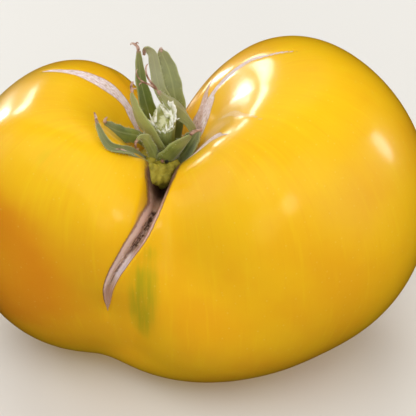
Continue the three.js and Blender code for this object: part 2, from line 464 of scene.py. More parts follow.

# Tints: (angle from +Z, azimuth, spread in degrees, strength)
# The third blush spot, in the front crease beside the scar, is painted shade; the others are the skin's
# own blush
blushAndCreaseShadeSpots = [(75, -148, 22, 0.8), (88, -160, 28, 0.8), (60, -100, 6, 0.35), (95, 60, 30, 0.6)]
greenSpots = [
    (58, -96, 4, 0.6),
    (67, -97.5, 5.5, 0.9),
    (76, -98.5, 6.5, 1),
    (86, -99.5, 6.5, 1),
    (95, -100, 6, 0.6),
    (40.7, -142.3, 5, 0.4),
]
paleSpots = [(25, -170, 26, 0.6), (35, -45, 26, 0.6), (32, 20, 22, 0.4), (46, -130, 18, 0.5)]


def spotShare(rays, spots):
    total = np.zeros(len(rays))
    for polar, azimuth, spread, strength in spots:
        total += strength * np.exp(-((awayFrom(rays, polar, azimuth) / spread) ** 2))
    return np.clip(total, 0, 1)


# Smooth points and sideways directions along a line, on the unit ball round the heart
def lineRays(line):
    shares = np.linspace(0, 1, scarSteps)
    polar, azimuth, halfWidth = [along(column, shares) for column in zip(*line)]
    rays = direction(np.radians(polar), np.radians(azimuth))
    tangent = unit(np.gradient(rays, axis=0))
    return rays, tangent, np.cross(rays, tangent), halfWidth


# Place across a line in half widths, distance from it in half widths, and share along it
def placeOn(line, rays):
    lineRay, tangent, sideways, halfWidth = lineRays(line)
    nearest = (rays @ lineRay.T).argmax(1)
    offset = rays - lineRay[nearest]
    spacing = np.linalg.norm(lineRay[1] - lineRay[0])
    onward = np.einsum("ij,ij->i", offset, tangent[nearest])
    across = np.degrees(np.einsum("ij,ij->i", offset, sideways[nearest])) / halfWidth[nearest]
    past = np.degrees(onward) * ((nearest == 0) | (nearest == len(lineRay) - 1)) / scarEnd
    share = (nearest + np.clip(onward / spacing, -0.5, 0.5)) / (len(lineRay) - 1)
    return across, np.hypot(across, past), share


def scarPlaces(rays):
    nearest = np.full(len(rays), noScar)
    places = np.zeros((len(rays), 3))
    looks = np.zeros((len(rays), 3))
    relief = np.zeros(len(rays))
    for scar in scars.values():
        across, away, share = placeOn(scar["line"], rays)
        closer = (away < nearest)[:, None]
        relief = relief + scar["relief"] * np.exp(-(away**4))
        nearest = np.minimum(nearest, away)
        places = np.where(closer, np.stack([away, share, across], -1), places)
        looks = np.where(closer, scar["look"], looks)
    places[:, 0] = nearest
    for fold in folds:
        away = placeOn(fold["line"], rays)[1]
        relief = relief + fold["relief"] * np.exp(-(away**2))
    return places, looks, relief


# The sphere's points crowd towards the top and the cleft, where the fine forms are
def makeFruit():
    deselectAll()
    bpy.ops.mesh.primitive_uv_sphere_add(
        segments=fruit["segments"], ring_count=fruit["rings"], radius=1, location=(0, 0, 0)
    )
    piece = newest("fruitSkin")
    ball = unit(readPoints(piece))
    evenPolar = np.arccos(np.clip(ball[:, 2], -1, 1))
    evenAzimuth = np.arctan2(ball[:, 1], ball[:, 0])
    polar = np.pi * (evenPolar / np.pi) ** fruit["topBias"]
    bend = np.sin(2 * (evenAzimuth - np.radians(fruit["cleftAzimuth"])))
    azimuth = evenAzimuth - fruit["cleftBias"] * bend
    rays = direction(polar, azimuth)
    scarPlace, scarLook, relief = scarPlaces(rays)
    radius = fruitRadius(polar, azimuth) - relief - fruit["inset"]
    points = fruit["heart"] + rays * radius[:, None]
    points[:, 2] = np.maximum(points[:, 2], 0)
    writePoints(piece, points * mm)
    writeAttribute(piece, "growth", np.stack([np.cos(azimuth), np.sin(azimuth), polar], -1))
    writeAttribute(piece, "scarPlace", scarPlace)
    writeAttribute(piece, "scarLook", scarLook)
    tints = [spotShare(rays, spots) for spots in (blushAndCreaseShadeSpots, greenSpots, paleSpots)]
    writeAttribute(piece, "tint", np.stack(tints, -1))
    choose(piece)
    bpy.ops.object.shade_smooth()
    return piece


skin = {
    "golden": srgb(243, 184, 3),
    "pale": srgb(246, 200, 12),
    "deep": srgb(234, 158, 2),
    "blushAndCreaseShade": srgb(222, 122, 4),
    "green": srgb(172, 164, 10),
    "speck": srgb(252, 222, 110),
    # The next colour is painted shade, for the stem cavity and under the calyx knob
    "cavity": srgb(84, 54, 34),
    "cork": srgb(212, 174, 148),
    "corkPale": srgb(238, 204, 188),
    "corkDark": srgb(160, 122, 92),
    "corkTip": srgb(192, 142, 114),
    "corkWhite": srgb(240, 226, 226),
    "edge": srgb(112, 66, 56),
    "fissure": srgb(62, 40, 26),
    "roughness": 0.36,
    "corkRoughness": 0.4,
    "coat": 0.8,
    "coatRoughness": 0.17,
    "mottle": 0.6,
    "blushAndShadeStrength": 0.65,
    "greening": 0.75,
    "specks": 0.2,
    "mottleScale": 45,
    "speckScale": 650,
    "grainScale": 900,
    "edgeScale": 700,
    "poreScale": 160,
    "fineScale": 2600,
    "bumpDepth": 0.0003,
    "scatter": (0.004, 0.002, 0.0004),
}


def skinColour(shader, place):
    growth = shader.attribute("growth")
    blushAndCreaseShade, green, pale = shader.attribute("tint").parts()
    mottle = shader.noise(place, skin["mottleScale"], 3)
    streaks = shader.noise(shader.stretch(growth, (14, 14, 1.2)), 2.2, 3)
    fine = shader.noise(shader.stretch(growth, (60, 60, 3)), 1.5, 2)
    colour = shader.mix(mottle.rise(0.35, 0.7) * skin["mottle"], skin["golden"], skin["deep"])
    colour = shader.mix(pale * (0.4 + streaks * 0.9), colour, skin["pale"])
    colour = shader.mix(streaks.rise(0.55, 0.75) * 0.25, colour, skin["pale"])
    colour = shader.mix(fine.rise(0.55, 0.75) * 0.15, colour, skin["deep"])
    # Orange blush, and painted shade in the front crease
    blushedAndShaded = (blushAndCreaseShade * (0.55 + mottle * 0.9)).rise(0.15, 1.0)
    colour = shader.mix(blushedAndShaded * skin["blushAndShadeStrength"], colour, skin["blushAndCreaseShade"])
    greened = (green * (0.3 + streaks * 1.3)).rise(0.2, 1.1)
    colour = shader.mix(greened * skin["greening"], colour, skin["green"])
    dots = shader.cells(place, skin["speckScale"])
    chance = shader.cells(place, skin["speckScale"], "Color").parts()[0]
    specks = dots.rise(0.24, 0.06) * chance.rise(0.55, 0.65)
    return shader.mix(specks * skin["specks"], colour, skin["speck"]), specks


# across, away and down place a point on its scar. The brown scar has painted shade of the cavity on top,
# then a ragged split between pale bands, a thin crack with a white side, and a darker tip
def corkColour(shader, place, across, away, down, brown, white):
    scarPlace = shader.attribute("scarPlace")
    strands = shader.noise(shader.stretch(scarPlace, (0, 10, 2.4)), 2.2, 4, 0.6)
    grain = shader.noise(place, skin["grainScale"], 4, 0.6)
    colour = shader.mix(strands.rise(0.4, 0.62) * 0.45, skin["cork"], skin["corkDark"])
    pale = (white * 0.9 + grain.rise(0.5, 0.75) * 0.7) * strands.rise(0.75, 0.4)
    colour = shader.mix(pale, colour, skin["corkWhite"])
    upper = down.rise(0.41, 0.32) * away.rise(0.85, 0.6)
    colour = shader.mix(upper * brown * 0.7, colour, skin["corkDark"])
    band = (away + (strands - 0.5) * 0.4).rise(0.5, 0.72) * down.rise(0.27, 0.41)
    colour = shader.mix(band * brown * 0.85, colour, skin["corkPale"])
    lowHalf = across.rise(-0.3, 0.2) * down.rise(0.56, 0.63) * down.rise(0.82, 0.74)
    colour = shader.mix(lowHalf * brown * 0.75, colour, skin["corkWhite"])
    colour = shader.mix(down.rise(0.8, 0.87) * brown * 0.7, colour, skin["corkTip"])
    ragged = abs(across + 0.13 + (strands - 0.5) * 0.9 + (grain - 0.5) * 0.5)
    split = ragged.rise(0.42, 0.18) * down.rise(0.33, 0.38) * down.rise(0.61, 0.56)
    crack = abs(across + 0.2 + (strands - 0.5) * 0.5).rise(0.18, 0.06)
    crack = crack * down.rise(0.57, 0.61) * down.rise(0.85, 0.78) * 0.6
    dark = (split + crack) * brown * (0.5 + grain.rise(0.6, 0.42) * 0.5)
    colour = shader.mix(dark, colour, skin["fissure"])
    # Painted shade: the top of the brown scar, under the calyx, darkens to the cavity colour
    hollow = down.rise(0.3, 0.18) * brown * (0.5 + strands * 0.6)
    colour = shader.mix(hollow, colour, skin["cavity"])
    return colour, strands * 1.4 + grain * 0.9 - dark * 2.5


def skinMaterial():
    shader = Shader("fruitSkin")
    place = shader.place()
    away, down, across = shader.attribute("scarPlace").parts()
    brown, white, strength = shader.attribute("scarLook").parts()
    colour, specks = skinColour(shader, place)
    cork, corkHeight = corkColour(shader, place, across, away, down, brown, white)
    edge = away + (shader.noise(place, skin["edgeScale"], 4, 0.65) - 0.5) * 0.22
    inScar = edge.rise(1.06, 0.94) * strength
    rim = edge.rise(0.86, 0.98) * edge.rise(1.16, 1.02) * strength
    colour = shader.mix(inScar, colour, cork)
    colour = shader.mix(rim * (0.3 + brown * 0.4), colour, skin["edge"])
    # Painted shade: the skin darkens towards the stem cavity at the top
    polar = shader.attribute("growth").parts()[2]
    shade = (polar + (shader.noise(place, 120, 3) - 0.5) * 0.08).rise(0.3, 0.2)
    colour = shader.mix(shade * 0.85, colour, skin["cavity"])
    pores = shader.noise(place, skin["poreScale"], 2)
    height = (pores * 0.5 + shader.noise(place, skin["fineScale"], 2) * 0.03) * (1 - inScar)
    height = height + inScar * corkHeight - specks * 0.02
    roughness = skin["roughness"] + (shader.noise(place, 300, 3) - 0.5) * 0.1
    roughness = roughness + inScar * skin["corkRoughness"]
    return shader.finish(
        {
            "Base Color": colour,
            "Roughness": roughness,
            "Normal": shader.bump(height, 0.6, skin["bumpDepth"]),
            "Coat Weight": (1 - inScar) * skin["coat"],
            "Coat Roughness": skin["coatRoughness"],
            "Subsurface Weight": 0.1,
            "Subsurface Radius": skin["scatter"],
            "Subsurface Scale": 1.0,
            "IOR": 1.4,
        }
    )


dress(makeFruit(), skinMaterial(), "fruit")
print("fruit skin made")


# The calyx: sepals on a lumpy, ribbed base, in millimetres. A lump is (centre, radii)
calyx = {
    "lumps": [
        ((-8, -4.4, 56.4), (6.8, 7.2, 4.6)),
        ((-8.4, -10.4, 57.6), (4, 3.6, 4)),
        ((-11.5, -14.2, 62.4), (1.8, 1.8, 2)),
        ((-9.4, -14.8, 60), (1.9, 1.7, 1.9)),
        ((-7, -13, 58.6), (2, 1.8, 1.9)),
        ((-10.3, -17.4, 61.3), (1.6, 1.6, 1.7)),
        ((-8.8, -16.5, 60.3), (1.9, 1.7, 1.8)),
        ((-7.1, -15.5, 60.1), (1.8, 1.7, 1.9)),
        ((-10.1, -16, 62.7), (1.7, 1.6, 2)),
        ((-8.1, -15, 62), (2, 1.7, 1.9)),
        ((-6.2, -13.8, 61.4), (1.8, 1.7, 1.9)),
        ((-5, -11, 60.8), (1.9, 1.8, 1.9)),
        ((-10.6, -11.4, 62.2), (1.6, 1.8, 2)),
        ((-7.6, -11.4, 61.8), (1.4, 1.4, 1.5)),
        ((-9.8, -9.6, 60.4), (2, 2.2, 2.6)),
    ],
    "unevenness": 0.18,
    "bumpCounts": (7, 6, 7),
    "ribCount": 5,
    "ribShare": 0.03,
    "voxel": 0.26,
    "softenings": 3,
    "leafThickness": 0.5,
    "stepsAlong": 40,
    "stepsAcross": 8,
    "wavePitch": 19,
    "waveShift": 1.7,
    "waveSlant": 1.3,
    "grooveDepth": 0.12,
    "grooveWidth": 0.18,
    "raggedPitch": 31,
    "raggedShare": 0.05,
}

# A line and its widths run from inside the base to the tip, and up is the way that the leaf
# faces. cup lifts the edges, wave ruffles them, and look is (share where it dries, paleness,
# greyness)
sepals = {
    "leftLower": {
        "line": [
            (-9.2, -7.5, 57.5),
            (-11.2, -10.8, 61.2),
            (-13.3, -14.9, 66),
            (-15.6, -18.2, 69.6),
            (-17.9, -20.6, 72.1),
            (-20.2, -21.4, 73.4),
            (-21.9, -20.6, 75.6),
            (-23.2, -17.6, 76.9),
            (-24, -15.4, 77.8),
        ],
        "widths": (3.4, 3.6, 3.4, 3, 2.6, 2.3, 1.8, 1.2, 0.4),
        "up": (0, -0.5, 1),
        "cup": 0.35,
        "wave": 0.2,
        "look": (0.88, 0.14, 0.12),
    },
    "leftUpper": {
        "line": [
            (-9, -2, 58),
            (-13.6, -3.4, 64.4),
            (-16.2, -4.6, 65.9),
            (-18.6, -5.8, 67.4),
            (-20.8, -6.8, 69.2),
            (-22.4, -7.2, 70.9),
        ],
        "widths": (2.6, 3.6, 4.4, 4.8, 4.6, 1.8),
        "up": (0.3, -0.6, 1),
        "cup": -0.3,
        "wave": 0.2,
        "look": (0.97, 0.3, 0),
    },
    "frontShort": {
        "line": [
            (-8.8, -8, 57.8),
            (-8.9, -10.4, 60.4),
            (-9.6, -11.8, 64.2),
            (-10.6, -12.6, 67.6),
            (-11.8, -13, 70.2),
            (-12.9, -13.6, 71),
            (-13.9, -14.2, 70.4),
        ],
        "widths": (3, 3.4, 3, 2.6, 2.4, 1.7, 0.7),
        "up": (-0.6, 1, 0.4),
        "cup": 0.5,
        "wave": 0.15,
        "look": (0.96, 0.6, 0.1),
    },
    "frontLong": {
        "line": [
            (-7.5, -6, 59),
            (-8.9, -8, 63.4),
            (-11.2, -9, 69.2),
            (-13.6, -8, 73.4),
            (-14.9, -6, 76.3),
            (-15.5, -4, 78.2),
        ],
        "widths": (4, 4.8, 5, 4, 2.8, 1.2),
        "up": (0.6, 0.9, 0.2),
        "cup": 0.25,
        "wave": 0.12,
        "look": (0.97, 0.75, 0.25),
    },
    "tall": {
        "line": [
            (-9, 0, 58),
            (-11.1, 2, 66.7),
            (-12.4, 4, 70.9),
            (-13.6, 7, 75.2),
            (-14, 9.5, 79.1),
            (-14.1, 11, 81.7),
        ],
        "widths": (3.2, 4, 4, 3, 2.2, 1),
        "up": (0.5, -1, 0.2),
        "cup": 0.35,
        "wave": 0.15,
        "look": (0.97, 0.15, 0),
    },
    "backNarrow": {
        "line": [
            (-7, 0.5, 58),
            (-6.5, 4, 69.4),
            (-8.3, 6.5, 71.8),
            (-9.5, 10, 74.5),
            (-10.2, 13, 77),
            (-10.9, 15, 78.8),
            (-12.4, 15.4, 79.4),
            (-13, 14.8, 78),
        ],
        "widths": (3, 3, 3.2, 3.2, 2.8, 2.2, 1.5, 0.6),
        "up": (0.2, -1, 0.3),
        "cup": 0.3,
        "wave": 0.25,
        "look": (0.84, 0.35, 0.85),
    },
    "backBroad": {
        "line": [
            (-5.5, 0, 58),
            (-4.2, 5, 67.6),
            (-5, 8, 71.1),
            (-5.8, 11, 73.7),
            (-6.9, 14, 75.8),
            (-8.1, 16.4, 77.4),
            (-8.5, 17.4, 78.4),
        ],
        "widths": (3.6, 4.6, 4.8, 4.6, 4, 2.8, 0.8),
        "up": (0.1, -1, 0.4),
        "cup": 0.3,
        "wave": 0.2,
        "look": (0.93, 0.28, 0.45),
    },
    "rightCrossing": {
        "line": [
            (-5, -2, 58),
            (-0.4, -0.5, 61),
            (0.6, -1, 65),
            (-1.7, -0.5, 69),
            (-4.6, -1, 72.6),
            (-7.2, -1, 75.2),
            (-9, -1, 76.9),
        ],
        "widths": (3.2, 4.4, 5.2, 5.6, 5, 3.2, 0.9),
        "up": (-1, 0.1, 0.2),
        "cup": 0.3,
        "wave": 0.12,
        "look": (0.9, 0.35, 0.3),
    },
    "rightFolded": {
        "line": [
            (-8, -9, 57.6),
            (-6.4, -11.2, 61.2),
            (-4.7, -12.1, 63.9),
            (-2.9, -11.8, 66.1),
            (-1.3, -10.9, 67.9),
            (-0.3, -10, 69),
        ],
        "widths": (4.6, 6.4, 7.2, 6.6, 4.6, 1.6),
        "up": (-0.35, 1, 0.9),
        "cup": 0.55,
        "wave": 0.15,
        "look": (0.98, 0.35, 0),
    },
    "rightLowest": {
        "line": [
            (-5, -5, 58),
            (-3, -8.2, 61),
            (-1.2, -8.6, 64),
            (0.3, -8, 66.4),
            (1.3, -7.5, 68),
            (2.1, -7, 68.9),
        ],
        "widths": (4, 5.6, 6, 5.2, 3, 1),
        "up": (-0.5, -0.5, 0.7),
        "cup": 0.4,
        "wave": 0.2,
        "look": (0.9, 0.12, 0.1),
    },
}

# Dried tips that curl: (line, half thickness at its start, middle and end)
driedTips = [
    (
        [
            (-8.8, -1, 76.8),
            (-9.9, -0.8, 78.3),
            (-10.9, -0.4, 79.6),
            (-11.7, 0, 81.3),
            (-11.8, 1.6, 82.6),
            (-11.2, 2.4, 83),
        ],
        (0.42, 0.26, 0.16),
    ),
    (
        [
            (-9, -1, 77),
            (-10.8, -1.2, 78.8),
            (-12.7, -1.2, 79.8),
            (-13.8, -1, 81),
            (-14.3, -0.4, 82.3),
            (-13.8, 0.3, 82.8),
        ],
        (0.34, 0.2, 0.12),
    ),
    ([(-12.3, -1.1, 79.7), (-13.4, -1.3, 79.2), (-13.7, -1.1, 78.1)], (0.18, 0.14, 0.08)),
    (
        [
            (-14.1, 10.8, 81.4),
            (-14.3, 11.8, 82.2),
            (-15, 12.4, 82.7),
            (-15.9, 12.6, 82.9),
            (-16.2, 12, 82.6),
        ],
        (0.5, 0.34, 0.18),
    ),
    ([(-14.9, 12.3, 82.6), (-14.5, 13.1, 82.8), (-14, 13.3, 82.4)], (0.24, 0.2, 0.1)),
    (
        [
            (-15.1, -4.3, 78.1),
            (-15.5, -3.4, 79.4),
            (-15.2, -2.8, 80.5),
            (-14.8, -2.9, 80.9),
        ],
        (0.45, 0.32, 0.16),
    ),
    ([(-15.3, -3.7, 79), (-14.5, -3.4, 79.1), (-14.2, -3.2, 78.8)], (0.24, 0.18, 0.1)),
    ([(-22.3, -6.9, 71), (-22.2, -7, 72), (-21.6, -7, 72.9)], (0.62, 0.42, 0.2)),
    ([(-23.8, -15.3, 77.6), (-24.1, -14.6, 78.4), (-24.4, -14, 78.9)], (0.4, 0.3, 0.16)),
    ([(-8.2, 16.6, 77.5), (-8.5, 17.5, 78.3), (-8.2, 17.8, 78.7)], (0.6, 0.45, 0.2)),
    (
        [
            (-13.6, -14, 70.8),
            (-14.3, -14.4, 69.8),
            (-14.2, -14.6, 68.6),
            (-13.5, -14.4, 67.8),
        ],
        (0.4, 0.3, 0.14),
    ),
    ([(1.6, -7, 68.5), (2.2, -7.1, 69.1), (2.3, -6.8, 69.6)], (0.5, 0.32, 0.14)),
    ([(-15.7, -19, 69.9), (-17.4, -20.4, 71.7), (-19, -21.6, 72.9)], (0.2, 0.42, 0.2)),
    ([(-0.8, -10.4, 69.6), (0.7, -9.5, 70.2), (2.4, -8.5, 69.9)], (0.5, 0.42, 0.2)),
    ([(-7.9, -14.6, 64.1), (-7.6, -14.4, 64.3), (-7.2, -14.1, 64.3)], (0.4, 0.5, 0.3)),
]


# Centripetal Catmull-Rom curve through a sepal's points, with its ends extended straight
def curvePoints(line, shares):
    points = np.asarray(line, dtype=float)
    points = np.vstack([2 * points[0] - points[1], points, 2 * points[-1] - points[-2]])
    spot = np.clip(shares, 0, 0.999999) * (len(line) - 1)
    start = spot.astype(int)
    f = (spot - start)[:, None]
    p0, p1, p2, p3 = [points[start + k] for k in range(4)]
    gaps = [np.linalg.norm(b - a, axis=1)[:, None] ** 0.5 for a, b in ((p0, p1), (p1, p2), (p2, p3))]
    first = (p1 - p0) / gaps[0] - (p2 - p0) / (gaps[0] + gaps[1]) + (p2 - p1) / gaps[1]
    last = (p2 - p1) / gaps[1] - (p3 - p1) / (gaps[1] + gaps[2]) + (p3 - p2) / gaps[2]
    first = first * gaps[1]
    last = last * gaps[1]
    square = -3 * p1 + 3 * p2 - 2 * first - last
    cube = 2 * p1 - 2 * p2 + first + last
    return p1 + first * f + square * f**2 + cube * f**3


def sepalFrame(sepal, shares):
    step = 0.004
    ahead = curvePoints(sepal["line"], np.minimum(shares + step, 1))
    behind = curvePoints(sepal["line"], np.maximum(shares - step, 0))
    forward = unit(ahead - behind)
    side = unit(np.cross(forward, unit(sepal["up"])))
    halfWidth = along(sepal["widths"], shares) / 2
    return curvePoints(sepal["line"], shares), side, np.cross(side, forward), halfWidth


def makeSepal(name, sepal, seed):
    deselectAll()
    bpy.ops.mesh.primitive_grid_add(
        x_subdivisions=calyx["stepsAcross"], y_subdivisions=calyx["stepsAlong"], size=1
    )
    piece = newest(name)
    flat = readPoints(piece)
    across = flat[:, 0] * 2
    shares = flat[:, 1] + 0.5
    points, side, normal, halfWidth = sepalFrame(sepal, shares)
    phase = shares * calyx["wavePitch"] + seed * calyx["waveShift"] + across * calyx["waveSlant"]
    wave = np.sin(phase) * sepal["wave"] * across**2
    wave = wave * np.clip(shares * 3, 0, 1)
    groove = calyx["grooveDepth"] * np.exp(-((across / calyx["grooveWidth"]) ** 2))
    lift = sepal["cup"] * halfWidth * across**2 - groove
    ragged = np.sin(shares * calyx["raggedPitch"] + seed + np.sign(across) * 2)
    edge = 1 + calyx["raggedShare"] * ragged
    points = points + side * (across * halfWidth * edge)[:, None]
    points = points + normal * (lift + wave)[:, None]
    writePoints(piece, points * mm)
    dry, pale, grey = sepal["look"]
    even = np.ones(len(shares))
    writeAttribute(piece, "leafPlace", np.stack([across, shares, even * seed], -1))
    writeAttribute(piece, "leafLook", np.stack([shares - dry, even * pale, even * grey], -1))
    wall = piece.modifiers.new("leafThickness", "SOLIDIFY")
    wall.thickness = calyx["leafThickness"] * mm
    wall.offset = 0
    smooth = piece.modifiers.new("leafSmooth", "SUBSURF")
    smooth.levels = 1
    smooth.render_levels = 1
    applyAll(piece)
    return piece


# A thread, made from a ball that is drawn out along a line in millimetres
def makeThread(name, line, radii, rings, sides, flatness=1):
    deselectAll()
    bpy.ops.mesh.primitive_uv_sphere_add(segments=sides, ring_count=rings, radius=1)
    piece = newest(name)
    ball = readPoints(piece)
    level = np.hypot(ball[:, 0], ball[:, 1])
    shares = np.arccos(np.clip(ball[:, 2], -1, 1)) / np.pi
    step = 0.01
    start = curvePoints(line, np.maximum(shares - step, 0))
    end = curvePoints(line, np.minimum(shares + step, 1))
    forward = unit(end - start)
    side = unit(np.cross(forward, (0.2, 0.9, -0.4)))
    normal = np.cross(forward, side)
    angle = np.arctan2(ball[:, 1], ball[:, 0])
    radius = along(radii, shares) * np.minimum(level * 3, 1)
    points = curvePoints(line, shares)
    points = points + side * (np.cos(angle) * radius)[:, None]
    points = points + normal * (np.sin(angle) * radius * flatness)[:, None]
    writePoints(piece, points * mm)
    return piece


def recalculate(piece):
    choose(piece)
    bpy.ops.object.mode_set(mode="EDIT")
    bpy.ops.mesh.select_all(action="SELECT")
    bpy.ops.mesh.normals_make_consistent(inside=False)
    bpy.ops.object.mode_set(mode="OBJECT")
    bpy.ops.object.shade_smooth()


def makeCalyxBase():
    lumps = []
    for centre, radii in calyx["lumps"]:
        deselectAll()
        bpy.ops.mesh.primitive_uv_sphere_add(segments=48, ring_count=32, radius=1)
        lump = newest("lump")
        ball = unit(readPoints(lump))
        x, y, z = ball.T
        xTurns, yTurns, zTurns = calyx["bumpCounts"]
        bumps = np.sin(x * xTurns + centre[0]) * np.sin(y * yTurns + 2) * np.sin(z * zTurns)
        ribs = calyx["ribShare"] * np.cos(calyx["ribCount"] * np.arctan2(y, x)) * np.hypot(x, y)
        points = ball * radii * (1 + ribs)[:, None] + ball * (bumps * calyx["unevenness"])[:, None]
        writePoints(lump, (points + centre) * mm)
        lumps.append(lump)
    piece = joinPieces(lumps, "calyxBase")
    remesh = piece.modifiers.new("oneSkin", "REMESH")
    remesh.mode = "VOXEL"
    remesh.voxel_size = calyx["voxel"] * mm
    smooth = piece.modifiers.new("softened", "SMOOTH")
    smooth.iterations = calyx["softenings"]
    applyAll(piece)
    bpy.ops.object.shade_smooth()
    return piece


leaf = {
    "dark": srgb(82, 96, 28),
    "light": srgb(156, 162, 66),
    "olive": srgb(138, 136, 34),
    "grey": srgb(162, 158, 132),
    "vein": srgb(170, 172, 112),
    "dryBrown": srgb(124, 88, 66),
    "dryPink": srgb(186, 150, 132),
    "dryPale": srgb(206, 194, 180),
    "aged": srgb(154, 146, 100),
    # The next colour is painted shade, for the gap where the front sepals meet
    "pitShade": srgb(30, 26, 20),
    "base": srgb(176, 160, 52),
    "baseDark": srgb(134, 124, 34),
    "patchScale": 330,
    "fuzzScale": 2200,
    "basePatchScale": 420,
    "baseFineScale": 1800,
    "dryPatchScale": 520,
    "dryFineScale": 2500,
    "bumpDepth": 0.0002,
    "baseBumpDepth": 0.0004,
}

# Painted shade: a small dark spot in the gap where the front sepals meet, in metres. It runs back
# and down, 36 degrees below level: fall and square are the tangent and cosine of that angle
pitShade = {
    "x": -0.0066,
    "level": 0.0537,
    "fall": 0.727,
    "square": 0.809,
    "rim": 0.0007,
    "core": 0.0004,
}


def pitShadeShare(place):
    x, y, z = place.parts()
    beside = x - pitShade["x"]
    above = (z + y * pitShade["fall"] - pitShade["level"]) * pitShade["square"]
    return ((beside * beside + above * above) ** 0.5).rise(pitShade["rim"], pitShade["core"])


def leafMaterial():
    shader = Shader("sepalLeaf")
    place = shader.place()
    across, down, seed = shader.attribute("leafPlace").parts()
    age, pale, grey = shader.attribute("leafLook").parts()
    patches = shader.noise(place, leaf["patchScale"], 3)
    strands = shader.noise(shader.stretch(shader.attribute("leafPlace"), (7, 1.6, 5)), 2, 3)
    tone = pale + (patches - 0.5) * 0.9 + (strands - 0.5) * 0.3
    colour = shader.mix(tone.rise(-0.1, 1), leaf["dark"], leaf["light"])
    colour = shader.mix(grey * 0.8, colour, leaf["grey"])
    colour = shader.mix(down.rise(0.45, 0.1) * 0.65, colour, leaf["olive"])
    colour = shader.mix(age.rise(-0.5, -0.08) * 0.4, colour, leaf["aged"])
    veins = abs(across).rise(0.14, 0.03) * 0.7 + strands.rise(0.6, 0.72) * 0.3
    colour = shader.mix(veins * 0.45, colour, leaf["vein"])
    colour = shader.mix(abs(across).rise(0.84, 1.0) * 0.45, colour, leaf["vein"])
    dryness = (age + (patches - 0.5) * 0.2).rise(-0.03, 0.08)
    dryColour = shader.mix(strands.rise(0.4, 0.6), leaf["dryBrown"], leaf["dryPink"])
    colour = shader.mix(dryness, colour, dryColour)
    # Painted shade where the front sepals meet
    colour = shader.mix(pitShadeShare(place) * 0.9, colour, leaf["pitShade"])
    height = strands * 0.6 + shader.noise(place, leaf["fuzzScale"], 3) * 0.5 + veins * 0.4
    return shader.finish(
        {
            "Base Color": colour,
            "Roughness": 0.6 + dryness * 0.2,
            "Normal": shader.bump(height, 0.6, leaf["bumpDepth"]),
            "Subsurface Weight": 0.1,
            "Subsurface Radius": (0.0006, 0.001, 0.0003),
            "Subsurface Scale": 1.0,
            "Sheen Weight": 0.25,
            "Sheen Roughness": 0.5,
        }
    )


def baseMaterial():
    shader = Shader("calyxBase")
    place = shader.place()
    patches = shader.noise(place, leaf["basePatchScale"], 4, 0.6)
    fine = shader.noise(place, leaf["baseFineScale"], 3)
    colour = shader.mix(patches.rise(0.35, 0.62), leaf["baseDark"], leaf["base"])
    colour = shader.mix(fine.rise(0.6, 0.75) * 0.4, colour, leaf["vein"])
    colour = shader.mix(patches.rise(0.68, 0.75) * 0.6, colour, leaf["dryPink"])
    # Painted shade where the front sepals meet
    colour = shader.mix(pitShadeShare(place) * 0.9, colour, leaf["pitShade"])
    return shader.finish(
        {
            "Base Color": colour,
            "Roughness": 0.55 + fine * 0.2,
            "Normal": shader.bump(patches + fine * 0.4, 0.5, leaf["baseBumpDepth"]),
            "Subsurface Weight": 0.1,
            "Subsurface Radius": (0.001, 0.0012, 0.0004),
            "Subsurface Scale": 1.0,
        }
    )


def dryMaterial():
    shader = Shader("driedTips")
    place = shader.place()
    patches = shader.noise(place, leaf["dryPatchScale"], 3, 0.6)
    colour = shader.mix(patches.rise(0.38, 0.55), leaf["dryBrown"], leaf["dryPink"])
    colour = shader.mix(patches.rise(0.55, 0.68) * 0.8, colour, leaf["dryPale"])
    fine = shader.noise(place, leaf["dryFineScale"], 3)
    return shader.finish(
        {
            "Base Color": colour,
            "Roughness": 0.7 + patches * 0.15,
            "Normal": shader.bump(fine, 0.5, leaf["bumpDepth"]),
        }
    )


leaves = [makeSepal(name, sepal, n) for n, (name, sepal) in enumerate(sepals.items())]
calyxLeaves = joinPieces(leaves, "calyxLeaves")
recalculate(calyxLeaves)
tips = [makeThread("tip", line, radii, 20, 8, 0.7) for line, radii in driedTips]
calyxTips = joinPieces(tips, "calyxTips")
recalculate(calyxTips)
calyxBase = makeCalyxBase()
dress(calyxLeaves, leafMaterial(), "calyx")
dress(calyxTips, dryMaterial(), "calyx")
dress(calyxBase, baseMaterial(), "calyx")
print("calyx made")


# The torn stalk end, in millimetres
stub = {
    "foot": (-7.7, -2.8, 58.2),
    "head": (-7.2, -4.6, 70.6),
    "footRadius": 3.6,
    "neckRadius": 2.8,
    "headRadius": 3.1,
    "tearNormal": (-0.1, -0.62, 0.78),
    "segments": 96,
    "cuts": 7,
    "ribs": 11,
    "ribDepth": 0.1,
    "hollowDepth": 1.5,
    "rimHeights": (0.2, 0.6, 1.4, 2.2, 1.5, 0.7, 0.1, 0, 0.2),
    "rimStart": 0.55,
    "rimWidth": 0.3,
    "raggedWaves": ((0.22, 17, 1), (0.16, 31, 0)),
    "pithHeight": 0.25,
    "smoothAngle": 50,
}

# Fine fibres round the rim. ring is their place in head radii, and leans and bends are ranges
# along x, y and z
fibres = {
    "count": 20,
    "seed": 5,
    "ring": (0.72, 0.98),
    "rootDepth": 0.5,
    "rimShare": 0.6,
    "spread": 0.15,
    "leans": ((-0.7, 0.2), (-0.3, 0.3), (0, 0.5)),
    "leanShare": 0.8,
    "bends": ((-0.4, 0.2), (-0.3, 0.3), (-0.2, 0.2)),
    "length": (0.8, 2),
    "radius": (0.1, 0.22),
    "tipRadius": 0.04,
}

